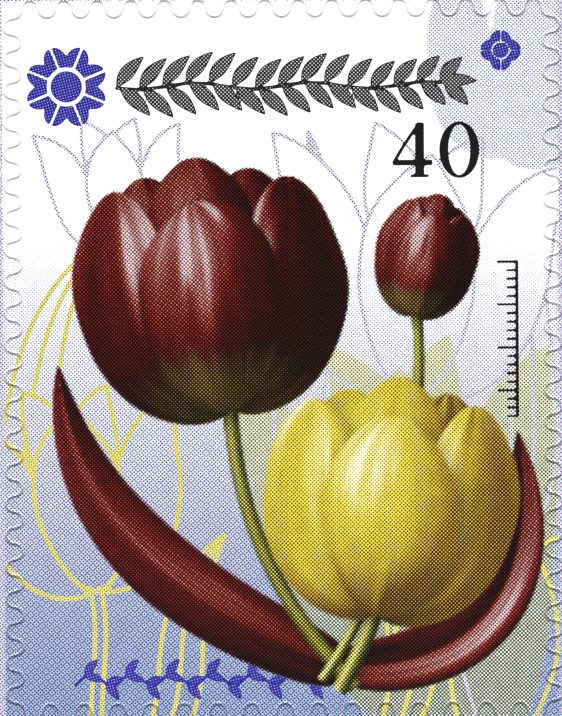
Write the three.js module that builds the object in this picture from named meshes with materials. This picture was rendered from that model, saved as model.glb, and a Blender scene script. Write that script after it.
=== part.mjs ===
// A self-adhesive postage stamp, still in the piece of its sheet: printed face paper, kiss-cut by a wavy die
// down to a release liner that carries it. Lying flat, picture side up, with the top of the stamp towards +Y.
//
// Frame: millimetres, +Z up. The origin is the middle of the liner's back, which is what the piece rests on.
//
// The layers, from the back: the release liner, which is whole; a coat of adhesive; and the face paper.
// The die goes through the paper and the adhesive and stops at the liner, so it parts each of them into the
// stamp and the frame of selvage round it.

import * as THREE from "three";

// Driving sizes.
const STAMP_WIDTH = 25.15; // between the middle lines of the left and right cuts
const STAMP_HEIGHT = 32.8; // between the middle lines of the top and bottom cuts
const TEETH_ACROSS = 16;
const TEETH_DOWN = 22;
const TOOTH_REACH = 0.39; // how far a tooth stands out of the middle line, and a notch goes in
const FLANK_LEAN = THREE.MathUtils.degToRad(11); // how far a tooth's flank leans from square to its side
const CORNER_REACH = 0.46; // from a corner of the middle lines to where the first tooth on each side crosses them
const CORNER_RADIUS = 0.35; // of the notch at each corner
const CUT_WIDTH = 0.06; // the slit that the die leaves
const SELVAGE_WIDTH = 1.5; // from the middle line of the cut to the trimmed edge of the piece

const LINER_THICKNESS = 0.07;
const ADHESIVE_THICKNESS = 0.02;
const PAPER_THICKNESS = 0.09;

const ARC_DIVISIONS = 3; // three.js draws an arc with twice as many chords

// Where each layer starts.
const ADHESIVE_Z = LINER_THICKNESS;
const PAPER_Z = ADHESIVE_Z + ADHESIVE_THICKNESS;

const PIECE_WIDTH = STAMP_WIDTH + 2 * SELVAGE_WIDTH;
const PIECE_HEIGHT = STAMP_HEIGHT + 2 * SELVAGE_WIDTH;

// The stamp's sides, counter-clockwise. Each starts at its corner and runs in the direction of its turn, with
// the teeth to the right of it.
const SIDES = [
  { corner: [-STAMP_WIDTH / 2, -STAMP_HEIGHT / 2], length: STAMP_WIDTH, teeth: TEETH_ACROSS, turn: 0 },
  { corner: [STAMP_WIDTH / 2, -STAMP_HEIGHT / 2], length: STAMP_HEIGHT, teeth: TEETH_DOWN, turn: Math.PI / 2 },
  { corner: [STAMP_WIDTH / 2, STAMP_HEIGHT / 2], length: STAMP_WIDTH, teeth: TEETH_ACROSS, turn: Math.PI },
  { corner: [-STAMP_WIDTH / 2, STAMP_HEIGHT / 2], length: STAMP_HEIGHT, teeth: TEETH_DOWN, turn: -Math.PI / 2 },
];

// The radius of the arcs that make a side's teeth and notches. Half a pitch holds the two half widths of a flank's
// arcs and the flank's lean, and the height from notch to tooth holds their heights and the flank's own.
function toothRadius(pitch) {
  const lean = Math.tan(FLANK_LEAN);
  const width = 2 * Math.cos(FLANK_LEAN);
  const height = 2 * (1 - Math.sin(FLANK_LEAN));
  return (pitch / 2 - 2 * TOOTH_REACH * lean) / (width - height * lean);
}

// Adds an arc to a path, given on one side of the stamp: its centre is along the side and out of it, and its
// angles run from the side's own direction towards the outside.
function addArc(path, side, along, out, radius, startAngle, endAngle) {
  const centre = new THREE.Vector2(along, -out)
    .rotateAround(new THREE.Vector2(0, 0), side.turn)
    .add(new THREE.Vector2(...side.corner));
  const clockwise = endAngle > startAngle;
  path.absarc(centre.x, centre.y, radius, side.turn - startAngle, side.turn - endAngle, clockwise);
}

// The line of the cut, moved outwards by the given distance. Each tooth and notch is an arc, and the straight
// flanks join them.
function cutLine(shift) {
  const path = new THREE.Path();
  for (const side of SIDES) {
    const pitch = (side.length - 2 * CORNER_REACH) / (side.teeth - 0.5);
    const radius = toothRadius(pitch);
    const rise = TOOTH_REACH - radius;
    for (let i = 0; i < side.teeth; i += 1) {
      const along = CORNER_REACH + (i + 0.25) * pitch;
      addArc(path, side, along, rise, radius + shift, Math.PI - FLANK_LEAN, FLANK_LEAN);
      if (i < side.teeth - 1) {
        const next = along + pitch / 2;
        addArc(path, side, next, -rise, radius - shift, Math.PI + FLANK_LEAN, 2 * Math.PI - FLANK_LEAN);
      }
    }
    // The flanks on both sides of the corner would meet this far in from the middle lines.
    const meeting = CORNER_REACH / (1 + Math.tan(FLANK_LEAN));
    const inset = meeting - (CORNER_RADIUS * Math.SQRT1_2) / Math.cos(Math.PI / 4 - FLANK_LEAN);
    const end = side.length - inset;
    const cornerRadius = CORNER_RADIUS - shift;
    addArc(path, side, end, -inset, cornerRadius, Math.PI + FLANK_LEAN, 1.5 * Math.PI - FLANK_LEAN);
  }
  return path.getPoints(ARC_DIVISIONS);
}

// A straight-sided rectangle about the origin.
function rectangle(width, height) {
  const x = width / 2;
  const y = height / 2;
  return [
    new THREE.Vector2(-x, -y),
    new THREE.Vector2(x, -y),
    new THREE.Vector2(x, y),
    new THREE.Vector2(-x, y),
  ];
}

function pieceShape() {
  return new THREE.Shape(rectangle(PIECE_WIDTH, PIECE_HEIGHT));
}

function stampShape() {
  return new THREE.Shape(cutLine(-CUT_WIDTH / 2));
}

function selvageShape() {
  const shape = pieceShape();
  shape.holes.push(new THREE.Path(cutLine(CUT_WIDTH / 2)));
  return shape;
}

const whitePaper = new THREE.MeshStandardMaterial({ color: 0xfafafc, roughness: 0.55, metalness: 0 });
const tintedPaper = new THREE.MeshStandardMaterial({ color: 0xe2dcf4, roughness: 0.55, metalness: 0 });
const glassine = new THREE.MeshStandardMaterial({ color: 0xf1eee2, roughness: 0.4, metalness: 0 });
const clearGum = new THREE.MeshStandardMaterial({ color: 0xece7d2, roughness: 0.25, metalness: 0 });

// One layer of the piece: a flat shape given its thickness.
function layer(name, shape, z, thickness, material) {
  const geometry = new THREE.ExtrudeGeometry(shape, { depth: thickness, bevelEnabled: false });
  const mesh = new THREE.Mesh(geometry, material);
  mesh.name = name;
  mesh.position.z = z;
  return mesh;
}

const liner = layer("release_liner", pieceShape(), 0, LINER_THICKNESS, glassine);

const stamp = new THREE.Group();
stamp.add(
  layer("stamp_adhesive", stampShape(), ADHESIVE_Z, ADHESIVE_THICKNESS, clearGum),
  layer("stamp_paper", stampShape(), PAPER_Z, PAPER_THICKNESS, whitePaper),
);

const selvage = new THREE.Group();
selvage.add(
  layer("selvage_adhesive", selvageShape(), ADHESIVE_Z, ADHESIVE_THICKNESS, clearGum),
  layer("selvage_paper", selvageShape(), PAPER_Z, PAPER_THICKNESS, tintedPaper),
);

const piece = new THREE.Group();
piece.add(liner, stamp, selvage);

export default piece;
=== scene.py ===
# %% [markdown]
# # A self-adhesive postage stamp, dressed on its CAD frame
# The real piece is a sandwich. Coated face paper carries the print. Under it lies a thin coat of
# adhesive, and under that a siliconised release liner. A wavy die has cut the paper and the adhesive down
# to the liner, so the stamp and the selvage round it are two separate pieces of paper, a hair's breadth
# apart.
#
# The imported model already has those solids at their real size. This script gives the two papers a finer
# mesh, prints them in four inks, and gives the liner and the adhesive their finish.

# %% Load the frame
import math

import bmesh
import bpy
import numpy as np
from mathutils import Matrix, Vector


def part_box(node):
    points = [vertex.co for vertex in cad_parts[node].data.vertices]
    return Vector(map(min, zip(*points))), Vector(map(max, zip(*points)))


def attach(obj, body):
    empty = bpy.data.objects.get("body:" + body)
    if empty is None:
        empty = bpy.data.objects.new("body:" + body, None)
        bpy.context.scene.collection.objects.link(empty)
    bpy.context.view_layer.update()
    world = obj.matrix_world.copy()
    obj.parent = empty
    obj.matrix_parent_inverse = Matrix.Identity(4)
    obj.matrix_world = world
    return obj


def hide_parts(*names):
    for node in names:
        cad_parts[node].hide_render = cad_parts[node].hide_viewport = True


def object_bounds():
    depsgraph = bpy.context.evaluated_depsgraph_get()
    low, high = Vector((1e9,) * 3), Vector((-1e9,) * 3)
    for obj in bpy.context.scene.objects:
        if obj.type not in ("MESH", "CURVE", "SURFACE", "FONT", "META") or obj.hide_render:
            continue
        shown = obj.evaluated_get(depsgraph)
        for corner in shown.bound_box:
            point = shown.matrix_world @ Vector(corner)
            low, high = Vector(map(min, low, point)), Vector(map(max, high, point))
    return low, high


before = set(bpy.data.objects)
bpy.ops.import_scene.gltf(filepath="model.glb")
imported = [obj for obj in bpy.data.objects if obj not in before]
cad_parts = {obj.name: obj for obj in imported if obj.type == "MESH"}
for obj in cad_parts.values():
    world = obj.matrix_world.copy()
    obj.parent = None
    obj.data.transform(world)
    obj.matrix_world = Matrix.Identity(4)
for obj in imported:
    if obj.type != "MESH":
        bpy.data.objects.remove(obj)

cad_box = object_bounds()
print("nodes in the frame:", sorted(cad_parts))

# %% [markdown]
# ## Sizes
# Blender works in metres, and paper is easier to think about in millimetres, so the script works in
# millimetres and changes to metres only where a mesh or a node needs them. The outer sizes come from the
# frame. The sizes of the die's teeth are stated here, because a box can't tell them.

# %% Sizes in millimetres
MM = 0.001  # metres in a millimetre

TEETH_ACROSS = 16
TEETH_DOWN = 22
TOOTH_REACH = 0.39  # how far a tooth stands out of the cut's middle line
FLANK_LEAN = math.radians(11)  # how far a tooth's flank leans from square to its side
CORNER_REACH = 0.46  # from a corner of the middle lines to the first tooth's crossing
CORNER_RADIUS = 0.35  # of the notch at each corner
CUT_WIDTH = 0.06  # the slit in the CAD solids


def size_in_mm(node):
    """Width, height, lowest and highest z of a CAD node."""
    low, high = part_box(node)
    return (high.x - low.x) / MM, (high.y - low.y) / MM, low.z / MM, high.z / MM


teeth_width, teeth_height, PAPER_BOTTOM, PAPER_TOP = size_in_mm("stamp_paper")
STAMP_WIDTH = teeth_width - 2 * TOOTH_REACH + CUT_WIDTH
STAMP_HEIGHT = teeth_height - 2 * TOOTH_REACH + CUT_WIDTH
PIECE_WIDTH, PIECE_HEIGHT = size_in_mm("release_liner")[:2]
print(f"stamp {STAMP_WIDTH:.2f} x {STAMP_HEIGHT:.2f} mm, piece {PIECE_WIDTH:.2f} x {PIECE_HEIGHT:.2f} mm")

# %% [markdown]
# ## The line of the cut
# A kiss-cutting die is a thin steel rule bent into waves. Each tooth and each notch is close to half a
# circle, and short flanks that lean a little join them. One side is worked out flat first: along it, and
# out of it. Because the print lives on the mesh's vertices, every side gets a fixed number of points at
# equal steps along the line, so that the flanks are as finely cut as the crests.

# %% One side of the cut
POINTS_PER_ARC = 24


def arc(along, out, radius, start, end):
    """Points on an arc. Its angles run from the side's own direction towards the outside."""
    angles = np.linspace(start, end, POINTS_PER_ARC)
    return np.stack([along + radius * np.cos(angles), out + radius * np.sin(angles)], axis=1)


def tooth_radius(pitch):
    """The radius of the teeth and notches, which leaves room for the flanks in each half pitch."""
    lean = math.tan(FLANK_LEAN)
    width = 2 * math.cos(FLANK_LEAN)
    height = 2 * (1 - math.sin(FLANK_LEAN))
    return (pitch / 2 - 2 * TOOTH_REACH * lean) / (width - height * lean)


def side_of_cut(length, teeth, cells):
    """cells + 1 points along one side, from the middle of one corner notch to the middle of the next."""
    pitch = (length - 2 * CORNER_REACH) / (teeth - 0.5)
    radius = tooth_radius(pitch)
    rise = TOOTH_REACH - radius
    meeting = CORNER_REACH / (1 + math.tan(FLANK_LEAN))
    inset = meeting - CORNER_RADIUS * math.sqrt(0.5) / math.cos(math.pi / 4 - FLANK_LEAN)
    lines = [arc(inset, -inset, CORNER_RADIUS, 1.75 * math.pi, 2 * math.pi - FLANK_LEAN)]
    for tooth in range(teeth):
        along = CORNER_REACH + (tooth + 0.25) * pitch
        lines.append(arc(along, rise, radius, math.pi - FLANK_LEAN, FLANK_LEAN))
        if tooth < teeth - 1:
            next_notch = along + pitch / 2
            lines.append(arc(next_notch, -rise, radius, math.pi + FLANK_LEAN, 2 * math.pi - FLANK_LEAN))
    lines.append(arc(length - inset, -inset, CORNER_RADIUS, math.pi + FLANK_LEAN, 1.25 * math.pi))
    line = np.concatenate(lines)
    walked = np.r_[0, np.cumsum(np.linalg.norm(np.diff(line, axis=0), axis=1))]
    steps = np.linspace(0, walked[-1], cells + 1)
    return np.stack([np.interp(steps, walked, line[:, 0]), np.interp(steps, walked, line[:, 1])], axis=1)


print(f"{TEETH_ACROSS} teeth across and {TEETH_DOWN} down, with {POINTS_PER_ARC} points on each arc")

# %% [markdown]
# ## A grid that follows the cut
# Both sheets start as one plain grid over the whole piece, with sixteen cells to a tooth. The stamp's
# cells are a rectangle with its four corners bitten out, because the die leaves a notch there. The
# vertices on the border of those cells are pulled onto the wavy line, one after another as the line is
# walked, and their neighbours follow them less and less with distance. That keeps the cells square inside
# the picture.

# %% The cells of the grid, and where its lines lie
CELLS_PER_TOOTH = 16
ACROSS = TEETH_ACROSS * CELLS_PER_TOOTH
DOWN = TEETH_DOWN * CELLS_PER_TOOTH
NOTCH_CELLS = 4  # bitten out of each corner of the stamp
SELVAGE_CELLS = 15


def grid_lines(cells, half_stamp, half_piece):
    """Where the grid's lines lie along one axis: evenly over the stamp, and evenly over each margin."""
    lines = np.arange(-SELVAGE_CELLS, cells + SELVAGE_CELLS + 1)
    marks = (-SELVAGE_CELLS, 0, cells, cells + SELVAGE_CELLS)
    return np.interp(lines, marks, (-half_piece, -half_stamp, half_stamp, half_piece))


LINES_X = grid_lines(ACROSS, STAMP_WIDTH / 2, PIECE_WIDTH / 2)
LINES_Y = grid_lines(DOWN, STAMP_HEIGHT / 2, PIECE_HEIGHT / 2)
print(f"grid of {len(LINES_X) - 1} by {len(LINES_Y) - 1} cells")


def in_stamp(column, row):
    """True where a cell, counted from the stamp's bottom left corner, belongs to the stamp."""
    notched = (np.minimum(column, ACROSS - 1 - column) < NOTCH_CELLS) & (
        np.minimum(row, DOWN - 1 - row) < NOTCH_CELLS)
    inside = (column >= 0) & (column < ACROSS) & (row >= 0) & (row < DOWN)
    return inside & ~notched


# %% Pull the border onto the cut
PULL_REACH = 1.3  # how far from the cut the grid still gives way
BATCHES = 40  # distances to every point of the cut are worked out a part at a time, to spare memory


def border_walk(cells):
    """The border's vertices on one side: how far along it and how deep into the stamp, in cells."""
    steps = np.arange(cells + 1)
    depth = np.clip(np.maximum(NOTCH_CELLS - steps, steps - (cells - NOTCH_CELLS)), 0, NOTCH_CELLS)
    along = np.clip(steps, NOTCH_CELLS, cells - NOTCH_CELLS)
    return along, depth


def cut_all_round():
    """Counter-clockwise: the border's vertices by column and row, the cut's points, and the ways out."""
    half_x, half_y = STAMP_WIDTH / 2, STAMP_HEIGHT / 2
    walk_x, deep_x = border_walk(ACROSS)
    walk_y, deep_y = border_walk(DOWN)
    line_x, out_x = side_of_cut(STAMP_WIDTH, TEETH_ACROSS, ACROSS).T
    line_y, out_y = side_of_cut(STAMP_HEIGHT, TEETH_DOWN, DOWN).T
    vertices = [(walk_x, deep_x), (ACROSS - deep_y, walk_y),
                (ACROSS - walk_x, DOWN - deep_x), (deep_y, DOWN - walk_y)]
    points = [(line_x - half_x, -half_y - out_x), (half_x + out_y, line_y - half_y),
              (half_x - line_x, half_y + out_x), (-half_x - out_y, half_y - line_y)]
    # Each side ends where the next one starts, so its last point is left out.
    vertices = np.concatenate([np.stack(side, axis=1)[:-1] for side in vertices])
    points = np.concatenate([np.stack(side, axis=1)[:-1] for side in points])
    along = np.roll(points, -1, axis=0) - np.roll(points, 1, axis=0)
    outwards = along[:, ::-1] * (1, -1) / np.linalg.norm(along, axis=1)[:, None]
    return vertices, points, outwards


BORDER, CUT_POINTS, OUTWARDS = cut_all_round()
FINE = 8  # steps from one of the cut's points to the next, for measuring distances from it
steps = np.arange(len(CUT_POINTS) * FINE) / FINE
closed = np.concatenate([CUT_POINTS, CUT_POINTS[:1]])
FINE_CUT = np.stack([np.interp(steps, np.arange(len(closed)), closed[:, axis]) for axis in (0, 1)], axis=1)
print(f"{len(CUT_POINTS)} points along the cut")


def pulled(place, shift):
    """The grid's vertices after the pull, with the border moved out from the cut's middle by a shift."""
    border = np.stack([LINES_X[BORDER[:, 0] + SELVAGE_CELLS],
                       LINES_Y[BORDER[:, 1] + SELVAGE_CELLS]], axis=1)
    pull = CUT_POINTS + shift * OUTWARDS - border
    moved = place.copy()
    depth = np.minimum(STAMP_WIDTH / 2 - np.abs(place[:, 0]), STAMP_HEIGHT / 2 - np.abs(place[:, 1]))
    near = np.flatnonzero(np.abs(depth) < PULL_REACH + NOTCH_CELLS * STAMP_WIDTH / ACROSS)
    for some in np.array_split(near, BATCHES):
        gap = np.linalg.norm(place[some, None] - border[None], axis=2)
        # The nearest points of the border count by far the most.
        weight = 1 / (gap + 1e-4) ** 4
        move = weight @ pull / weight.sum(axis=1, keepdims=True)
        hold = np.cos(0.5 * math.pi * np.clip(gap.min(axis=1) / PULL_REACH, 0, 1)) ** 2
        moved[some] += move * hold[:, None]
    return moved


def spaced(place, distance, exact):
    """Places moved square to the cut, to a distance from its middle line, or only those that are nearer."""
    gap = np.concatenate([np.linalg.norm(some[:, None] - FINE_CUT[None], axis=2)
                          for some in np.array_split(place, BATCHES)])
    foot = FINE_CUT[gap.argmin(axis=1)]
    reach = gap.min(axis=1)[:, None]
    wanted = distance if exact else np.maximum(reach, distance)
    return foot + (place - foot) * wanted / reach


# %% [markdown]
# ## The two papers as meshes
# A grid comes from one operator. The same operator serves both sheets: the selvage takes a wider grid and
# loses the stamp's cells. The die is a wedge, and it presses the paper down on both sides before it parts
# it. So the first ring of cells beside the cut gets an even width and slopes down like a shoulder, still
# printed, and the two rims nearly meet in a groove. The shoulder that faces the light shows as a bright
# line, the other one as a dark line. From the rim a wall goes down to the adhesive, and the back is
# filled.

# %% Lay a sheet's cells
FACE, WALL = 0, 1  # material slots: printed face, and bare cut edge
RIM_GAP = 0.014  # between the two rims


def lay_cells(bm, is_stamp, shift):
    """Give a bmesh one sheet's cells, with their border moved out from the cut's middle by a shift."""
    columns, rows = len(LINES_X) - 1, len(LINES_Y) - 1
    bmesh.ops.create_grid(bm, x_segments=columns, y_segments=rows, size=0.5)
    flat = np.array([vertex.co[:2] for vertex in bm.verts]) + 0.5
    column, row = np.rint(flat[:, 0] * columns).astype(int), np.rint(flat[:, 1] * rows).astype(int)
    place = pulled(np.stack([LINES_X[column], LINES_Y[row]], axis=1), shift)
    middles = np.array([face.calc_center_median()[:2] for face in bm.faces]) + 0.5
    belongs = in_stamp(np.floor(middles[:, 0] * columns).astype(int) - SELVAGE_CELLS,
                       np.floor(middles[:, 1] * rows).astype(int) - SELVAGE_CELLS)
    for vertex, (x, y) in zip(bm.verts, place):
        vertex.co = (x * MM, y * MM, PAPER_TOP * MM)
    others = [face for face, in_it in zip(bm.faces, belongs) if in_it != is_stamp]
    bmesh.ops.delete(bm, geom=others, context="FACES")


# %% Press the rim down
SHOULDER_WIDTH = 0.1  # of the slope on each side of the cut
SHOULDER_DROP = 0.055  # how far the die has pressed the rim down
TRIM_DROP = 0.008  # how far the rim is down at the trimmed edge of the piece
RINGS = 3  # rows of vertices beside the cut that are kept apart
RING_STEP = 0.012  # the least distance from one to the next


def is_trimmed(x, y):
    """True for a place on the trimmed edge of the piece."""
    return max(abs(x) - PIECE_WIDTH / 2, abs(y) - PIECE_HEIGHT / 2) > -0.001


def press_rim(bm, rim):
    """Lower the rim, and give the slope beside the cut an even width. Returns the edges where it starts."""
    ring = []
    for vertex in dict.fromkeys(vertex for edge in rim for vertex in edge.verts):
        trimmed = is_trimmed(vertex.co.x / MM, vertex.co.y / MM)
        vertex.co.z -= (TRIM_DROP if trimmed else SHOULDER_DROP) * MM
        if not trimmed:
            ring.append(vertex)
    shoulder = {face for vertex in ring for face in vertex.link_faces}
    seen = set(ring)
    for step in range(RINGS):
        near = dict.fromkeys(v for vertex in ring for face in vertex.link_faces for v in face.verts)
        ring = [vertex for vertex in near if vertex not in seen]
        seen.update(ring)
        distance = RIM_GAP / 2 + SHOULDER_WIDTH + step * RING_STEP
        place = np.array([vertex.co[:2] for vertex in ring]) / MM
        for vertex, (x, y) in zip(ring, spaced(place, distance, step == 0)):
            vertex.co.xy = (x * MM, y * MM)
    print(f"rim of {len(rim)} edges pressed down, slope of {len(shoulder)} cells")
    return [edge for edge in bm.edges if len(shoulder.intersection(edge.link_faces)) == 1]


# %% Build both sheets
def close_sheet(bm, rim):
    """Walls from the rim down to the adhesive, and a back."""
    wall = bmesh.ops.extrude_edge_only(bm, edges=rim)["geom"]
    for vertex in (piece for piece in wall if isinstance(piece, bmesh.types.BMVert)):
        vertex.co.z = PAPER_BOTTOM * MM
    back_rim = [edge for edge in bm.edges if edge.is_boundary]
    back = bmesh.ops.triangle_fill(bm, edges=back_rim, use_beauty=False, use_dissolve=False,
                                   normal=(0, 0, -1))
    for piece in wall + back["geom"]:
        if isinstance(piece, bmesh.types.BMFace):
            piece.material_index = WALL
    bmesh.ops.recalc_face_normals(bm, faces=bm.faces[:])


def sheet(name, is_stamp, shift):
    """The stamp's paper or the selvage's. Only its printed face is smooth, and its creases stay sharp."""
    bm = bmesh.new()
    lay_cells(bm, is_stamp, shift)
    rim = [edge for edge in bm.edges if edge.is_boundary]
    creases = press_rim(bm, rim)
    close_sheet(bm, rim)
    for face in bm.faces:
        face.smooth = face.material_index == FACE
    for edge in rim + creases:
        edge.smooth = False
    mesh = bpy.data.meshes.new(name)
    bm.to_mesh(mesh)
    bm.free()
    piece = bpy.data.objects.new(name, mesh)
    bpy.context.scene.collection.objects.link(piece)
    triangles = sum(len(polygon.vertices) - 2 for polygon in mesh.polygons)
    print(f"{name}: {len(mesh.vertices)} vertices, {triangles} triangles")
    return piece


printed_stamp = sheet("printed_stamp", True, -RIM_GAP / 2)
printed_selvage = sheet("printed_selvage", False, RIM_GAP / 2)

# %% [markdown]
# ## What is printed
# The picture is painted here by formula, on a raster of its own, and is later read off at the sheet's
# vertices. It is a plain botanical picture: two dark tulips, a yellow one and their leaves, over a sky
# that runs from white to violet blue, with pale silhouettes and outlines of the same flowers behind.
# Nearly all of it grows out of one shape, the petal: a curved spine, and a width that swells and closes
# along it.

# %% The raster and small helpers
RASTER = 0.05  # millimetres in a cell of the picture
EYE = 2.2  # the power that spaces tones evenly for the eye
HALF_X, HALF_Y = PIECE_WIDTH / 2, PIECE_HEIGHT / 2
raster_x, raster_y = np.meshgrid(np.arange(-HALF_X + RASTER / 2, HALF_X, RASTER),
                                 np.arange(-HALF_Y + RASTER / 2, HALF_Y, RASTER))
chance = np.random.default_rng(11)
print(f"raster of {raster_x.shape[1]} by {raster_x.shape[0]} cells")


def linear(hex_colour):
    """An sRGB hex colour as three linear numbers."""
    value = np.array([int(hex_colour[i:i + 2], 16) / 255 for i in (1, 3, 5)])
    return np.where(value <= 0.04045, value / 12.92, ((value + 0.055) / 1.055) ** 2.4)


def smooth(low, high, value):
    """0 below low, 1 above high, and a smooth step between them."""
    share = np.clip((value - low) / (high - low), 0, 1)
    return share * share * (3 - 2 * share)


def blurred(field, sigma):
    """A field softened by a bell curve that is sigma millimetres wide."""
    reach = int(3 * sigma / RASTER) + 1
    weights = np.exp(-0.5 * (np.arange(-reach, reach + 1) * RASTER / sigma) ** 2)
    for axis in (0, 1):
        wide = np.pad(field, [(reach, reach) if axis == side else (0, 0) for side in (0, 1)], mode="edge")
        field = sum(weight * np.take(wide, np.arange(start, start + field.shape[axis]), axis)
                    for start, weight in enumerate(weights / weights.sum()))
    return field


def ramp(shade, stops):
    """The linear colour at a shade from 0, dark, to 1, light, between stops of shade and hex colour."""
    places = [place for place, _ in stops]
    eye_even = np.array([linear(colour) for _, colour in stops]) ** (1 / EYE)
    mixed = [np.interp(shade, places, channel) for channel in eye_even.T]
    return np.stack(mixed, axis=-1) ** EYE


# %% [markdown]
# ## A spine, and the petal round it
# A petal is easy to describe along its spine and hard to describe in x and y. So every raster cell near a
# spine is told how far along it lies and how far to the left of it. The petal's outline, its rounded
# section and its veins are then one formula each in those two numbers.

# %% Spine coordinates
SPINE_STEPS = 80


def curve(points):
    """A Bezier curve through control points: the places on it, and its direction there."""
    points = np.array(points, float)
    share = np.linspace(0, 1, SPINE_STEPS)[:, None]
    order = len(points) - 1
    places = sum(math.comb(order, i) * (1 - share) ** (order - i) * share ** i * point
                 for i, point in enumerate(points))
    slope = np.gradient(places, axis=0)
    return places, slope / np.linalg.norm(slope, axis=1, keepdims=True)


def window(places, margin):
    """The part of the raster that holds these places, with a margin in millimetres."""
    low = (places.min(axis=0) - margin + (HALF_X, HALF_Y)) / RASTER
    high = (places.max(axis=0) + margin + (HALF_X, HALF_Y)) / RASTER
    (left, bottom), (right, top) = np.clip([low, high], 0, raster_x.shape[::-1]).astype(int)
    return slice(bottom, top), slice(left, right)


def from_spine(points, margin):
    """A part of the raster, its cells' shares of the spine and distances to its left, and its length."""
    places, directions = curve(points)
    part = window(places, margin)
    x, y = raster_x[part], raster_y[part]
    walked = np.r_[0, np.cumsum(np.linalg.norm(np.diff(places, axis=0), axis=1))]
    nearest = np.full(x.shape, np.inf)
    along, aside = np.zeros(x.shape), np.zeros(x.shape)
    for (at_x, at_y), (dir_x, dir_y), length in zip(places, directions, walked):
        gap_x, gap_y = x - at_x, y - at_y
        gap = gap_x ** 2 + gap_y ** 2
        nearer = gap < nearest
        nearest[nearer] = gap[nearer]
        along[nearer] = (length + gap_x * dir_x + gap_y * dir_y)[nearer]
        aside[nearer] = (gap_y * dir_x - gap_x * dir_y)[nearer]
    return part, along / walked[-1], aside, walked[-1]


def placed(points, base, degrees, size):
    """Points of a flower of height 1 that stands on its base, turned and sized."""
    turn = math.radians(degrees)
    return [(base[0] + size * (math.cos(turn) * x - math.sin(turn) * y),
             base[1] + size * (math.sin(turn) * x + math.cos(turn) * y)) for x, y in points]


# %% [markdown]
# ## Light and paint
# A flat picture looks round when its tones follow a light. Each petal is treated as a height: its own
# crown, and the swell of the whole flower under it. The slope of that height is lit from the upper left.
# The streaks of a petal are random numbers, one row across it and a few along it, so they run from its
# base to its tip.

# %% Light, streaks and paint
LIGHT = np.array([-0.42, 0.55, 0.72])
LIGHT /= np.linalg.norm(LIGHT)
HALFWAY = LIGHT + [0, 0, 1]  # where gloss is brightest: halfway between the light and the eye
HALFWAY /= np.linalg.norm(HALFWAY)

picture = np.ones(raster_x.shape + (3,))  # linear red, green and blue
plant = np.full(raster_x.shape, -9.0)  # how far inside a flower, stem or leaf each cell is, in millimetres


def lit(height):
    """Daylight and gloss on a height in millimetres, each from 0 to 1."""
    slope_y, slope_x = np.gradient(height, RASTER)
    size = np.sqrt(slope_x ** 2 + slope_y ** 2 + 1)
    day = (LIGHT[2] - slope_x * LIGHT[0] - slope_y * LIGHT[1]) / size
    gloss = (HALFWAY[2] - slope_x * HALFWAY[0] - slope_y * HALFWAY[1]) / size
    return np.clip(day, 0, 1), np.clip(gloss, 0, 1)


def streaks(along, across, lanes, rows):
    """Smooth random streaks, from -1 to 1, along a petal whose across runs from -1 to 1."""
    table = chance.uniform(-1, 1, (rows + 1, lanes + 1))
    row, lane = np.clip(along, 0, 0.999) * rows, np.clip(0.5 + 0.5 * across, 0, 0.999) * lanes
    i, j = row.astype(int), lane.astype(int)
    down, right = smooth(0, 1, row - i), smooth(0, 1, lane - j)
    upper = table[i, j] * (1 - right) + table[i, j + 1] * right
    lower = table[i + 1, j] * (1 - right) + table[i + 1, j + 1] * right
    return upper * (1 - down) + lower * down


def paint(part, cover, colour):
    """Lay a colour over the picture where it is covered."""
    picture[part] += cover[..., None] * (colour - picture[part])


def add_to_plant(part, inside, colour, shadow, reach=0.35):
    """Paint a shape of the plant, after it has darkened what lies below and to the right of it."""
    cover = smooth(-0.04, 0.05, inside)
    shift = round(0.75 * reach / RASTER)
    moved = np.zeros(cover.shape)
    moved[:-shift, shift:] = blurred(cover, reach)[shift:, :-shift]
    picture[part] *= 1 - shadow * (moved * (1 - cover) * (plant[part] > 0))[..., None]
    plant[part] = np.maximum(plant[part], inside)
    paint(part, cover, colour)


# %% [markdown]
# ## Petal, tulip, leaf and stem
# The colours are ramps from deep shade to gloss, because a petal changes hue with its tone: a maroon one
# goes from near black through red brown to a dusty pink, and a yellow one from olive brown to cream. A
# tulip is a cup of six petals, three behind and three in front, on one egg-shaped swell.

# %% Colours of the flowers
MAROON = ((0, "#1e0604"), (0.18, "#2d0905"), (0.38, "#480c07"), (0.58, "#6a1a11"), (0.76, "#8b3e33"),
          (0.9, "#a8726b"), (1, "#cdb3b6"))
YELLOW = ((0, "#80601c"), (0.2, "#aa8d28"), (0.4, "#c4b130"), (0.58, "#d0c03a"), (0.74, "#dccc4a"),
          (0.88, "#e9df8c"), (1, "#f8f4dc"))
GLOW = ((0, "#241a08"), (0.35, "#6a581c"), (0.6, "#a08c3c"), (0.8, "#c6bd6c"), (1, "#ece6b8"))
GREEN = ((0, "#2c2c0c"), (0.35, "#6b6c22"), (0.65, "#a8a544"), (0.85, "#cfcf7c"), (1, "#f0f1cc"))


# %% Petals
PETAL_SHADOW, STEM_SHADOW = 0.6, 0.4  # how much they darken what lies behind them
SHADOW_ROOM = 1.6  # room for the shadow round a shape, in millimetres


def flat_ground(x, y):
    """No swell under a leaf."""
    return np.zeros(x.shape)


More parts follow.
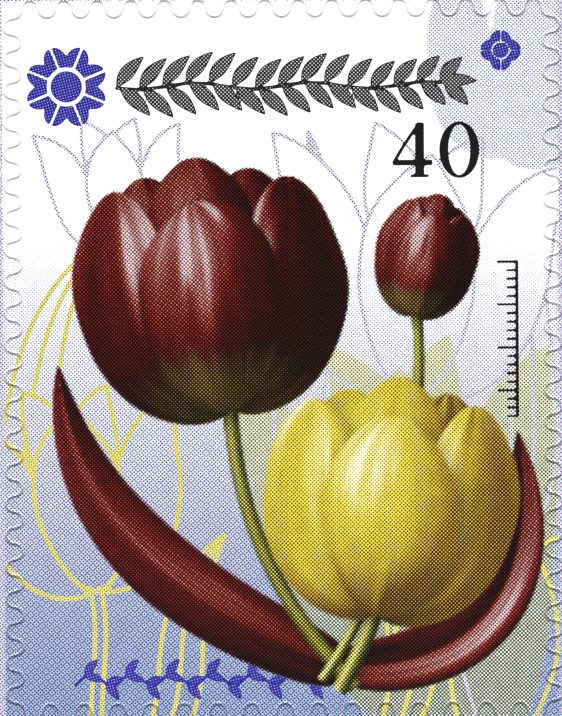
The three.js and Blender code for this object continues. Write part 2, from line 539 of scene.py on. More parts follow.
def inside_petal(points, width, bottom=0.5, widest=0.55, tip=0.52, wave=0.0):
    """A part of the raster and, for its cells: share of the spine, share across it, and how far inside the
    petal they are. A small power makes the bottom or the tip blunt."""
    part, along, aside, length = from_spine(points, 1.2 * width + SHADOW_ROOM)
    share = np.clip(along, 0, 1)
    opening = np.sin(0.5 * math.pi * np.clip(share / widest, 0, 1)) ** bottom
    closing = np.cos(0.5 * math.pi * np.clip((share - widest) / (1 - widest), 0, 1)) ** tip
    half = width * np.where(share < widest, opening, closing)
    half *= 1 + wave * np.sin(13 * share + 9 * points[0][0]) * smooth(0.2, 0.7, share)
    past_end = length * np.maximum(-along, along - 1)
    inside = np.minimum(half - np.abs(aside), -past_end)
    steepness = np.hypot(*np.gradient(inside, RASTER))
    return part, share, np.clip(aside / np.maximum(half, 0.02), -1, 1), inside / np.maximum(steepness, 1)


def flat_petal(points, width, **form):
    """A part of the raster, and how far inside a petal its cells are."""
    part, _, _, inside = inside_petal(points, width, **form)
    return part, inside


def petal(points, width, colours, light, ground=flat_ground, crown=0.5, gloss=0.34, glow=0.0, lanes=22,
          fold=0.0, tilt=0.0, **form):
    """Paint one petal or leaf round its spine. Its width is half of its breadth where it is widest."""
    part, share, across, inside = inside_petal(points, width, **form)
    # The height: a crown, faint ribs, a tilt to one side, a fold along the middle, and the flower's swell.
    height = crown * width * np.sqrt(1.06 - across ** 2) * (0.35 + 0.65 * np.sin(math.pi * share) ** 0.7)
    folded = fold * np.sqrt(across ** 2 + 0.004)
    height += width * (0.05 * streaks(share, across, 6, 3) + tilt * across - folded)
    height += ground(raster_x[part], raster_y[part])
    day, shine = lit(height)
    grain = 0.55 * streaks(share, across, lanes, 4) + 0.45 * streaks(share, across, 2 * lanes + 7, 6)
    # The tone: daylight and gloss, then streaks, a dark foot and a bright rim towards the tip.
    shade = 0.04 + 0.70 * day ** 1.3 + gloss * shine ** 9 + light
    shade *= 1 + 0.16 * grain * (0.35 + 0.65 * np.sin(math.pi * share))
    shade -= 0.22 * smooth(0.4, 0.0, share)
    shade += 0.12 * smooth(0.16, 0.0, inside / width) * smooth(0.35, 0.9, share) * day
    colour = ramp(np.clip(shade, 0, 1), colours)
    if glow:
        share_of_glow = glow * smooth(0.33, 0.0, share + 0.07 * grain)
        colour += share_of_glow[..., None] * (ramp(np.clip(shade + 0.3, 0, 1), GLOW) - colour)
    add_to_plant(part, inside, colour, PETAL_SHADOW)


# %% Tulips and stems
def cup(base, degrees, size, spread):
    """The egg-shaped swell of a whole tulip, as a height over x and y."""
    turn = math.radians(degrees)

    def swell(x, y):
        right = (math.cos(turn) * (x - base[0]) + math.sin(turn) * (y - base[1])) / size
        up = (math.cos(turn) * (y - base[1]) - math.sin(turn) * (x - base[0])) / size
        radius_squared = 0.27 * spread ** 2 * (1 - ((up - 0.42) / 0.72) ** 2)
        gap = radius_squared - right ** 2
        # A soft floor at zero keeps the slope smooth where a petal leaves the egg.
        return 0.72 * size * np.sqrt(0.5 * (gap + np.sqrt(gap ** 2 + 0.0008)))
    return swell


def tulip(base, degrees, size, colours, spread=1.0, mirror=1, **look):
    """Six petals, from back to front."""
    ground = cup(base, degrees, size, spread)

    def one(points, width, light, **form):
        turned = placed([(mirror * spread * x, y) for x, y in points], base, degrees, size)
        petal(turned, width * size, colours, light, ground, **look, **form)

    one([(-0.06, 0.25), (-0.22, 0.62), (-0.2, 0.99)], 0.19, -0.16, widest=0.62, wave=0.03, tilt=0.2)
    one([(0.08, 0.25), (0.25, 0.6), (0.22, 0.96)], 0.20, -0.18, widest=0.62, wave=0.04, tilt=-0.2)
    one([(0, 0.25), (0.0, 0.65), (0.02, 1.04)], 0.23, -0.11, widest=0.58, tip=0.5, wave=0.03)
    one([(0.03, -0.01), (-0.44, 0.12), (-0.34, 0.6), (-0.33, 0.95)], 0.235, -0.02, wave=0.03, tilt=-0.1)
    one([(-0.01, -0.01), (0.44, 0.12), (0.35, 0.58), (0.4, 0.9)], 0.225, 0.01, wave=0.04, tilt=0.1)
    one([(0.01, -0.05), (-0.05, 0.32), (0.05, 0.56), (-0.02, 0.86)], 0.31, 0.05, tip=0.5, wave=0.02)


def stem(points, width):
    """A round green stem. Its width is half of its breadth."""
    part, along, aside, length = from_spine(points, width + SHADOW_ROOM)
    inside = np.minimum(width - np.abs(aside), length * np.minimum(along, 1 - along))
    across = np.clip(aside / width, -1, 1)
    day, shine = lit(1.1 * width * np.sqrt(1.03 - across ** 2))
    shade = 0.05 + 0.75 * day ** 1.4 + 0.2 * shine ** 12
    shade += 0.05 * streaks(np.clip(along, 0, 1), across, 9, 8)
    add_to_plant(part, inside, ramp(np.clip(shade, 0, 1), GREEN), STEM_SHADOW, reach=0.25)


# %% [markdown]
# ## Compose the picture
# Painted from back to front, as with body colour: the sky, the pale silhouettes in it, the leaves, the
# stems and then the flowers, whose cut stems cross above the foot of the picture. The places are in
# millimetres from the middle of the stamp. The sky runs on past the cut, because a printer lets the ink
# bleed over it.

# %% Sky and silhouettes
SKY_TOP, SKY_BOTTOM = 6.2, -16.3  # where the white ends, and where the blue is full
SKY = ((0, "#ffffff"), (0.25, "#efeff5"), (0.5, "#dadae8"), (0.75, "#bfc2de"), (1, "#95a3dd"))
MEADOW = ((0, "#f2efc8"), (0.45, "#d2d5b4"), (1, "#a9afa2"))
EVERYWHERE = (slice(None), slice(None))

sky_share = 1 - (1 - np.clip((SKY_TOP - raster_y) / (SKY_TOP - SKY_BOTTOM), 0, 1)) ** 1.5
picture[:] = ramp(sky_share, SKY)

# A plain tulip with flared, pointed petals: their spines at height 1, and their half widths.
PLAIN_TULIP = (([(0.05, 0.3), (-0.1, 0.6), (-0.06, 0.8), (-0.2, 1.06)], 0.14),
               ([(-0.05, 0.3), (0.1, 0.6), (0.08, 0.8), (0.24, 1.02)], 0.14),
               ([(0.02, 0.0), (-0.5, 0.06), (-0.22, 0.62), (-0.62, 1.0)], 0.17),
               ([(-0.02, 0.0), (0.5, 0.06), (0.22, 0.6), (0.6, 0.92)], 0.17),
               ([(0.0, -0.04), (0.02, 0.35), (-0.04, 0.6), (0.04, 0.94)], 0.24))
PLAIN_LEAF = dict(bottom=0.35, widest=0.4, tip=0.85)


def plain_petals(base, degrees, size):
    """The flat petals of a plain tulip, from back to front."""
    return [flat_petal(placed(points, base, degrees, size), width * size, tip=0.85, wave=0.03)
            for points, width in PLAIN_TULIP]


def silhouette(base, degrees, size, tint, leaves=()):
    """A tulip and leaves in one pale tint."""
    cover = np.zeros(raster_x.shape)
    shapes = [flat_petal(points, width, **PLAIN_LEAF) for points, width in leaves]
    for part, inside in plain_petals(base, degrees, size) + shapes:
        cover[part] = np.maximum(cover[part], smooth(-0.04, 0.06, inside))
    paint(EVERYWHERE, cover, tint)


silhouette((10.3, 9.6), -14, 8.6, linear("#e1e2ec"))
silhouette((7.0, -12.5), 10, 13.0, ramp(sky_share, MEADOW),
           leaves=[([(9.4, -20.0), (5.0, -15.0), (-1.6, -9.0), (-0.6, -1.2)], 2.0),
                   ([(9.0, -20.0), (8.4, -16.0), (9.4, -13.0), (8.6, -9.0)], 2.4),
                   ([(8.4, -20.0), (11.8, -15.0), (11.0, -6.5), (11.7, 1.0)], 1.5)])
print(f"sky and silhouettes: mean tone {picture.mean():.2f}")

# %% Leaves, stems and flowers
LEAF = dict(bottom=0.2, widest=0.42, tip=0.8, crown=0.3, gloss=0.42, lanes=16)
petal([(2.7, -14.5), (-3.4, -11.9), (-9.8, -8.4), (-10.5, -0.2)], 1.7, MAROON, 0.06, fold=0.42, **LEAF)
petal([(2.6, -14.3), (8.0, -14.6), (12.2, -11.6), (10.9, -3.4)], 1.5, MAROON, -0.1, fold=-0.3, **LEAF)
stem([(-2.5, -1.6), (-2.4, -7), (-0.4, -11.4), (3.3, -15.3)], 0.36)
stem([(6.2, 2.2), (6.9, -4), (4.6, -11), (1.7, -15.0)], 0.26)
tulip((-2.6, -1.9), 9, 11.0, MAROON, glow=0.75)
tulip((6.1, 2.2), -13, 5.4, MAROON, spread=0.62, glow=0.6)
stem([(4.4, -10.6), (4.2, -12.6), (3.4, -13.8), (2.5, -15.5)], 0.38)
tulip((4.4, -11.5), -7, 10.3, YELLOW, mirror=-1, glow=0.45, gloss=0.22)
print(f"picture: {picture.shape[1]} x {picture.shape[0]} cells, mean tone {picture.mean():.2f}")

# %% [markdown]
# ## Line work
# Drawn lines and ornaments have to stay crisp, far crisper than the raster. So they aren't painted. Each
# kind of line keeps a distance field instead: how far a cell is from the ink, below zero inside it. A
# distance can be read between the vertices without going soft, and the shader cuts it off at zero.

# %% Distance fields
FAR = 0.6  # distances are cut off here
LINE_KINDS = ("yellow_line", "blue_line", "royal_blue", "solid_black", "screened_black")
lines = {kind: np.full(raster_x.shape, FAR) for kind in LINE_KINDS}


def ink_shape(kind, part, distance):
    """Add a shape to a kind of line."""
    lines[kind][part] = np.minimum(lines[kind][part], distance)


def clear_shape(kind, part, distance):
    """Take a shape out of a kind of line."""
    lines[kind][part] = np.maximum(lines[kind][part], -distance)


def inked(*kinds):
    """The area that these kinds of line cover."""
    return {kind: f"{(lines[kind] < 0).sum() * RASTER ** 2:.1f} mm2" for kind in kinds}


def stroke(kind, points, width):
    """A line along a Bezier curve, with round ends."""
    part, along, aside, length = from_spine(points, FAR + width)
    past_end = length * np.maximum(0, np.maximum(-along, along - 1))
    ink_shape(kind, part, np.hypot(aside, past_end) - width / 2)


def outline(kind, part, inside, width):
    """The outline of a shape, which clears the lines behind it."""
    clear_shape(kind, part, -inside)
    ink_shape(kind, part, np.abs(inside) - width / 2)


def drawn_tulip(kind, base, degrees, size, width):
    """A plain tulip as an outline."""
    for part, inside in plain_petals(base, degrees, size):
        outline(kind, part, inside, width)


def drawn_leaf(kind, points, half_breadth, width):
    """A leaf as an outline with its midrib."""
    outline(kind, *flat_petal(points, half_breadth, **PLAIN_LEAF), width)
    stroke(kind, points, width)


# %% Outlined tulips behind the flowers
YELLOW_WIDTH, FINE_YELLOW_WIDTH, BLUE_WIDTH = 0.22, 0.21, 0.17
drawn_leaf("yellow_line", [(-12.9, -9.5), (-11.6, -3.5), (-12.2, 1.5), (-8.6, 5.4)], 1.1, YELLOW_WIDTH)
drawn_leaf("yellow_line", [(-6.4, -18.4), (-3.6, -15.4), (-6.2, -12.4), (-2.8, -8.2)], 1.0, YELLOW_WIDTH)
drawn_tulip("yellow_line", (-8.8, -10.4), 10, 8.8, YELLOW_WIDTH)
stroke("yellow_line", [(-9.1, -10.6), (-8.4, -13), (-9.4, -16), (-8.9, -18.2)], YELLOW_WIDTH)
stroke("yellow_line", [(-8.6, -10.6), (-7.9, -13), (-8.9, -16), (-8.4, -18.2)], YELLOW_WIDTH)
drawn_tulip("yellow_line", (9.4, -18.2), -10, 10.4, FINE_YELLOW_WIDTH)
drawn_leaf("yellow_line", [(4.6, -18.4), (6.2, -15.6), (6.8, -12.4), (5.0, -8.2)], 1.0, FINE_YELLOW_WIDTH)

drawn_leaf("blue_line", [(0.6, -6.4), (0.2, 0.2), (2.6, 6.2), (1.2, 10.6)], 1.2, BLUE_WIDTH)
drawn_leaf("blue_line", [(9.6, -9.2), (13.6, -5.4), (10.2, 1.2), (12.4, 6.2)], 1.1, BLUE_WIDTH)
drawn_tulip("blue_line", (-7.4, 5.4), 8, 5.6, BLUE_WIDTH)
drawn_tulip("blue_line", (6.0, -1.2), -3, 11.4, BLUE_WIDTH)
stroke("blue_line", [(6.0, -1.8), (6.2, -6), (7.0, -11), (9.4, -18.2)], BLUE_WIDTH)

for kind in ("yellow_line", "blue_line"):
    lines[kind] = np.maximum(lines[kind], plant)
print("outlines:", inked("yellow_line", "blue_line"))

# %% [markdown]
# ## Ornaments
# Stamps carry words and a value in fixed places. This one has no words. A band of laurel in screened
# black, a blue rosette, a plain number and a fine scale hold those places, and a running vine closes the
# picture below.

# %% Laurel band, rosette and quatrefoil
LAUREL_HEIGHT, LAUREL_START, LAUREL_END = 12.75, -7.7, 7.4
LAUREL_SWAY, LAUREL_WAVE, LAUREL_STEM = 0.16, 5.4, 0.17  # how far it sways, over what length, how thick
LEAF_PAIRS = 15
LONG_LEAF, SHORTER_BY = 1.95, 0.4  # the leaves grow shorter towards the end


def leaf_shape(kind, root, degrees, length, half_breadth):
    """A small solid leaf."""
    points = placed([(0, 0), (0.35, 0.07), (0.7, 0.05), (1, 0)], root, degrees, length)
    part, inside = flat_petal(points, half_breadth, bottom=0.8, widest=0.42, tip=1.0)
    ink_shape(kind, part, -inside)


def wave_height(x, middle, reach, wavelength):
    """The height of a gently waving stem."""
    return middle + reach * math.sin(2 * math.pi * x / wavelength)


stem_points = []
for share in np.linspace(0, 1, LEAF_PAIRS):
    x = LAUREL_START + (LAUREL_END - LAUREL_START) * share
    y = wave_height(x, LAUREL_HEIGHT, LAUREL_SWAY, LAUREL_WAVE)
    stem_points.append((x, y))
    length = LONG_LEAF - SHORTER_BY * share ** 2
    leaf_shape("screened_black", (x, y + 0.05), 48, length, 0.34)
    leaf_shape("screened_black", (x + 0.15, y - 0.05), -42, length, 0.34)
for ends in zip(stem_points[:-1], stem_points[1:]):
    stroke("screened_black", ends, LAUREL_STEM)
leaf_shape("screened_black", stem_points[-1], 2, 1.75, 0.3)

ROSETTE, ROSETTE_RADIUS, ROSETTE_PETALS = (-10.05, 12.75), 1.95, 8
QUATREFOIL, QUATREFOIL_RADIUS = (10.2, 14.35), 0.95


def rosette(kind, middle, radius, lobes, turn=0.0):
    """Round petals, parted by a bare ring and bare spokes. All its sizes are shares of its radius."""
    x, y = raster_x - middle[0], raster_y - middle[1]
    distance, angle = np.hypot(x, y), np.arctan2(y, x) - turn
    edge = 0.72 + 0.28 * np.abs(np.sin(0.5 * lobes * angle)) ** 0.8
    body = 0.8 * (distance - edge * radius)
    ring = np.abs(distance - 0.42 * radius) - 0.045 * radius
    spoke = np.abs(np.cos(0.5 * lobes * angle)) * distance * 2 / lobes - 0.03 * radius
    spoke = np.maximum(spoke, 0.42 * radius - distance)
    ink_shape(kind, EVERYWHERE, np.maximum(body, -np.minimum(ring, spoke)))


rosette("royal_blue", ROSETTE, ROSETTE_RADIUS, ROSETTE_PETALS)
rosette("royal_blue", QUATREFOIL, QUATREFOIL_RADIUS, 4, 0.25 * math.pi)
print("laurel and rosettes:", inked("screened_black", "royal_blue"))

# %% Number and scale
NUMBER_LEFT, NUMBER_FOOT, NUMBER_HEIGHT = 5.15, 8.45, 2.55
FOUR_STEM, FOUR_WIDTH, NOUGHT_MIDDLE = 1.25, 1.85, 3.1  # from the number's left
NOUGHT_HALF, SERIF_HALF = 0.93, 0.45  # half their widths
HAIRLINE, STEM_WIDTH = 0.13, 0.42


def bar(kind, left, bottom, right, top):
    """A rectangle."""
    x, y = np.abs(raster_x - 0.5 * (left + right)), np.abs(raster_y - 0.5 * (bottom + top))
    ink_shape(kind, EVERYWHERE, np.maximum(x - 0.5 * (right - left), y - 0.5 * (top - bottom)))


def oval(middle, half_width, half_height):
    """The distance to an upright oval, close enough near its edge."""
    x, y = (raster_x - middle[0]) / half_width, (raster_y - middle[1]) / half_height
    from_middle = np.hypot(x, y)
    slope = np.hypot(x / half_width, y / half_height)
    return from_middle * (from_middle - 1) / np.maximum(slope, 1e-6)


four_stem = NUMBER_LEFT + FOUR_STEM
four_bar = NUMBER_FOOT + 0.27 * NUMBER_HEIGHT
number_top = NUMBER_FOOT + NUMBER_HEIGHT
bar("solid_black", four_stem - STEM_WIDTH / 2, NUMBER_FOOT, four_stem + STEM_WIDTH / 2, number_top)
bar("solid_black", NUMBER_LEFT, four_bar - HAIRLINE, NUMBER_LEFT + FOUR_WIDTH, four_bar + HAIRLINE)
bar("solid_black", four_stem - SERIF_HALF, NUMBER_FOOT, four_stem + SERIF_HALF, NUMBER_FOOT + HAIRLINE)
stroke("solid_black", [(NUMBER_LEFT + 0.05, four_bar), (NUMBER_LEFT + 0.6, number_top - 0.85),
                       (four_stem, number_top - 0.05)], 1.2 * HAIRLINE)

nought = (NUMBER_LEFT + NOUGHT_MIDDLE, NUMBER_FOOT + NUMBER_HEIGHT / 2)
outer = oval(nought, NOUGHT_HALF, NUMBER_HEIGHT / 2 + 0.04)
inner = oval(nought, NOUGHT_HALF - STEM_WIDTH, NUMBER_HEIGHT / 2 - 0.1)
ink_shape("solid_black", EVERYWHERE, np.maximum(outer, -inner))

SCALE_X, SCALE_TOP, SCALE_STEP, SCALE_TICKS = 10.9, 4.5, 0.4, 18
LONG_TICK, SHORT_TICK = 0.95, 0.5
SCALE_HALF, TICK_HALF = 0.07, 0.06  # half the widths of the lines
scale_foot = SCALE_TOP - SCALE_STEP * SCALE_TICKS
bar("solid_black", SCALE_X - SCALE_HALF, scale_foot - SCALE_HALF,
    SCALE_X + SCALE_HALF, SCALE_TOP + SCALE_HALF)
for tick in range(SCALE_TICKS + 1):
    y = SCALE_TOP - tick * SCALE_STEP
    length = LONG_TICK if tick % 5 == 0 else SHORT_TICK
    bar("solid_black", SCALE_X - length, y - TICK_HALF, SCALE_X, y + TICK_HALF)
print("number and scale:", inked("solid_black"))

# %% Running vine
VINE_START, VINE_END, VINE_HEIGHT, VINE_SWAY, VINE_WAVE, VINE_STEM = -9.8, 1.2, -14.9, 0.3, 1.9, 0.13
stem_points = [(x, wave_height(x, VINE_HEIGHT, VINE_SWAY, VINE_WAVE))
               for x in np.arange(VINE_START, VINE_END, VINE_WAVE / 8)]
for ends in zip(stem_points[:-1], stem_points[1:]):
    stroke("royal_blue", ends, VINE_STEM)
for turn in range(round(2 * (VINE_END - VINE_START) / VINE_WAVE)):
    x = VINE_START + (turn + 0.5) * VINE_WAVE / 2
    root = (x, wave_height(x, VINE_HEIGHT, VINE_SWAY, VINE_WAVE))
    up = 1 if root[1] > VINE_HEIGHT else -1
    leaf_shape("royal_blue", root, 52 * up, 1.05, 0.22)
    leaf_shape("royal_blue", root, -16 * up, 0.95, 0.18)
lines["royal_blue"] = np.maximum(lines["royal_blue"], plant)
print("with the vine:", inked("royal_blue"))

# %% [markdown]
# ## From colours to four inks
# A press has no maroon and no sky blue. It has cyan, magenta, yellow and black, and lays each as dots of
# changing size. From a step away the eye adds up the paper between the dots and the ink on it. So the
# question for every cell is what share each ink covers, if each takes its own part out of the light.
# Black is settled first, from how dark the cell is. The other three then follow from the red, the green
# and the blue, a few times in turn, because each ink also dims the others' light a little. The lamps
# light bare paper somewhat past the white that a picture can show, so every painted colour is first
# turned into a share of the paper's light.

# %% Separate the picture
INKS = {"cyan": "#00a0e3", "magenta": "#e0147f", "yellow": "#ffee14", "black": "#1c1a1c"}
passes = {ink: linear(hex_colour) for ink, hex_colour in INKS.items()}
ANSWERS_FOR = {"cyan": 0, "magenta": 1, "yellow": 2}  # the channel that each ink takes the most light from

TINT_TOP, TINT_BOTTOM = "#d9d5e8", "#c8c7ea"  # the selvage's plain tint, at its top and its bottom
# How far the picture passes the middle line of the cut on each side.
BLEED_LEFT, BLEED_RIGHT, BLEED_TOP, BLEED_BOTTOM = 0.44, 0.24, 0.29, 0.30

past_sides = np.maximum(-raster_x - BLEED_LEFT, raster_x - BLEED_RIGHT) - STAMP_WIDTH / 2
past_ends = np.maximum(-raster_y - BLEED_BOTTOM, raster_y - BLEED_TOP) - STAMP_HEIGHT / 2
past_picture = np.maximum(past_sides, past_ends)
tint = ramp(np.clip(0.5 - raster_y / STAMP_HEIGHT, 0, 1), ((0, TINT_TOP), (1, TINT_BOTTOM)))
paint(EVERYWHERE, (past_picture > 0).astype(float), tint)
lines = {kind: np.maximum(field, past_picture) for kind, field in lines.items()}

EXPOSURE = 1.3  # how bright bare paper shows, where white is 1
WHITE_HOLD = 6  # the higher, the more only the whitest tones are kept on bare paper
BLACK_GAIN, MOST_BLACK = 1.5, 0.95  # how readily black takes over the dark, and how much at most
ROUNDS = 10  # enough for the three colours to settle
light = np.clip(picture, 0, 1)
light /= EXPOSURE - (EXPOSURE - 1) * light ** WHITE_HOLD
darkness = 1 - light.max(axis=-1) ** (1 / EYE)
cover = {"black": np.minimum(BLACK_GAIN * darkness, MOST_BLACK * (1 - light.max(axis=-1)))}
cover.update({ink: np.zeros(darkness.shape) for ink in ANSWERS_FOR})
for _ in range(ROUNDS):
    for ink, channel in ANSWERS_FOR.items():
        passed = [1 - cover[other] * (1 - passes[other][channel]) for other in INKS if other != ink]
        wanted = light[..., channel] / np.maximum(np.prod(passed, axis=0), 1e-4)
        cover[ink] = np.clip((1 - wanted) / (1 - passes[ink][channel]), 0, 1)
print({ink: f"{share.mean():.2f} of the paper" for ink, share in cover.items()})

# %% [markdown]
# ## Dots
# A halftone screen is a hill of cosines for every dot. Where the hill stands above a threshold there is
# ink, so a low threshold makes a big dot. The tables below say which threshold covers which share of the
# paper. The thresholds, and not the colours, go onto the mesh as attributes, together with the distances
# to the line work. The shader then draws dots far finer than the mesh. Black has crisp dots. The three
# colours have very soft ones: their inks are transparent, and light that enters the paper beside a dot
# leaves it again under the dot.

# %% Thresholds
DOT_EDGE = {"cyan": 2.8, "magenta": 3.0, "yellow": 4.5, "black": 0.2}  # in the height of a hill
NO_DOT, FULL_DOT = 3.0, -3.0  # thresholds for black that leave the paper bare, and that fill it

phase = np.linspace(0, 2 * math.pi, 160, endpoint=False)
hills = (np.cos(phase)[:, None] + np.cos(phase)[None]).ravel()
levels = {ink: np.linspace(-2.7 - edge, 2.7 + edge, 201) for ink, edge in DOT_EDGE.items()}
shares_at = {ink: np.array([smooth(-edge, edge, hills - level).mean() for level in levels[ink]])
             for ink, edge in DOT_EDGE.items()}


def threshold(ink, share):
    """The threshold at which an ink's dots cover a share of the paper."""
    return np.interp(-np.asarray(share), -shares_at[ink], levels[ink])


print("thresholds for a quarter of the paper:", {ink: round(float(threshold(ink, 0.25)), 2) for ink in INKS})

# %% Read the raster at a sheet's vertices
# How far each plate is out of register, as on any press.
MISFIT = {"cyan": (0.006, 0.004), "magenta": (-0.005, 0.006), "yellow": (0.007, -0.006), "black": (0, 0)}


def read(field, place):
    """A raster field between its cells, at places in millimetres."""
    column = np.clip((place[:, 0] + HALF_X) / RASTER - 0.5, 0, field.shape[1] - 1.001)
    row = np.clip((place[:, 1] + HALF_Y) / RASTER - 0.5, 0, field.shape[0] - 1.001)
    i, j = row.astype(int), column.astype(int)
    down, right = row - i, column - j
    return ((field[i, j] * (1 - right) + field[i, j + 1] * right) * (1 - down)
            + (field[i + 1, j] * (1 - right) + field[i + 1, j + 1] * right) * down)


def store(mesh, name, *fields):
    """Save one number, or three, on every vertex."""
    kind, key = ("FLOAT", "value") if len(fields) == 1 else ("FLOAT_VECTOR", "vector")
    attribute = mesh.attributes.new(name, kind, "POINT")
    attribute.data.foreach_set(key, np.stack(fields, axis=1).astype(np.float32).ravel())


for piece in (printed_stamp, printed_selvage):
    place = np.empty(3 * len(piece.data.vertices))
    piece.data.vertices.foreach_get("co", place)
    place = place.reshape(-1, 3)[:, :2] / MM
    dots = [threshold(ink, read(cover[ink], place - MISFIT[ink])) for ink in INKS]
    store(piece.data, "screen_colours", *dots[:3])
    store(piece.data, "screen_black", dots[3])
    distances = {kind: read(field, place) for kind, field in lines.items()}
    store(piece.data, "lines_in_colour", *(distances[kind] for kind in LINE_KINDS[:3]))
    store(piece.data, "lines_in_black", *(distances[kind] for kind in LINE_KINDS[3:]), np.zeros(len(place)))
    print(piece.name, "carries", [attribute.name for attribute in piece.data.attributes][-4:])

# %% [markdown]
# ## Printed paper
# The face is wood-free paper with a white, slightly glossy clay coat, printed by offset. Seen close, the
# sheet isn't quite flat, because fibres lie under the coat. An image of the print could be laid over the
# sheet, but its dots would blur close up. Nodes stay sharp at any distance, so they draw every dot. The
# ink is transparent, so each one multiplies the light that comes back from the paper. The screens lie at
# angles of their own, so that they make small rosettes and not stripes.

# %% Add a node, start a material, and end it
def add_node(tree, kind, settings=None, **inputs):
    """Add a node, set its properties, and fill or link its inputs. A name means the input in use that has
    it, and in_0, in_1 and so on count the inputs. A node as a value links its first output in use, and a
    text is a hex colour."""
    node = tree.nodes.new(kind)
    for name, value in (settings or {}).items():
        setattr(node, name, value)
    for name, value in inputs.items():
        label = name.replace("_", " ")
        named = [socket for socket in node.inputs if socket.enabled and socket.name == label]
        socket = node.inputs[int(name[3:])] if name.startswith("in_") else named[0]
        if isinstance(value, str):
            value = (*linear(value), 1.0)
        if isinstance(value, bpy.types.Node):
            value = next(output for output in value.outputs if output.enabled)
        if isinstance(value, bpy.types.NodeSocket):
            tree.links.new(value, socket)
        else:
            socket.default_value = value
    return node


def new_material(name):
    """An empty node material, its tree, and the place on the object that its patterns read."""
    material = bpy.data.materials.new(name)
    material.use_nodes = True
    material.node_tree.nodes.clear()
    place = add_node(material.node_tree, "ShaderNodeTexCoord").outputs["Object"]
    return material, material.node_tree, place


def end_material(tree, height, depth, strength, **inputs):
    """Relief of a depth in millimetres, the shader with its inputs, and the output."""
    relief = add_node(tree, "ShaderNodeBump", Height=height, Distance=depth * MM, Strength=strength)
    shader = add_node(tree, "ShaderNodeBsdfPrincipled", Normal=relief, **inputs)
    add_node(tree, "ShaderNodeOutputMaterial", Surface=shader)


def grains(size):
    """The scale of a noise whose grains are about a size in millimetres."""
    return 1 / (size * MM)


# %% Dots in the shader
SCREEN_PITCH = 0.125  # 80 lines in a centimetre
SCREEN_ANGLES = {"cyan": 15, "magenta": 75, "yellow": 0, "black": 45}

# Settings of Mix nodes and of Math nodes.
NUMBERS, VECTORS, COLOURS = ({"data_type": kind} for kind in ("FLOAT", "VECTOR", "RGBA"))
MULTIPLY = {"data_type": "RGBA", "blend_type": "MULTIPLY"}
ADD, SUBTRACT, COSINE = ({"operation": name} for name in ("ADD", "SUBTRACT", "COSINE"))


def ink_dots(tree, place, angle, edge, limit, unevenness):
    """Where a screen at an angle stands above its limit, from 0 to 1."""
    turned = add_node(tree, "ShaderNodeMapping", Vector=place, Rotation=(0, 0, -math.radians(angle)),
                      Scale=(2 * math.pi / (SCREEN_PITCH * MM),) * 3)
    axes = add_node(tree, "ShaderNodeSeparateXYZ", Vector=turned).outputs
    waves = [add_node(tree, "ShaderNodeMath", COSINE, in_0=axis) for axis in axes[:2]]
    hill = add_node(tree, "ShaderNodeMath", ADD, in_0=waves[0], in_1=waves[1])
    rough = add_node(tree, "ShaderNodeMath", ADD, in_0=hill, in_1=unevenness)
    above = add_node(tree, "ShaderNodeMath", SUBTRACT, in_0=rough, in_1=limit)
    return add_node(tree, "ShaderNodeMapRange", {"interpolation_type": "SMOOTHSTEP"}, Value=above,
                    From_Min=-edge, From_Max=edge)


# %% Lines in the shader
LINE_EDGE = 0.008  # how soft the edge of a line is, in millimetres
RIM_FROM, RIM_TO = 0.055, 0.03  # between these, the solid rim of ink round a screened shape fades in
READY_MIXED_BLUE = "#4743b5"  # process inks can't make it, so it has a plate of its own
BLUE_COVER = 0.93  # the share of the paper that it covers

# What each kind of line covers: the shares of cyan, magenta, yellow and black.
LINE_SHARES = {"blue_line": (0.25, 0.14, 0.0, 0.32), "yellow_line": (0.28, 0.12, 0.82, 0.17),
               "royal_blue": (0.60, 0.35, 0.0, 0.0), "screened_black": (0.0, 0.0, 0.0, 0.86),
               "solid_black": (0.3, 0.2, 0.2, 1.0)}


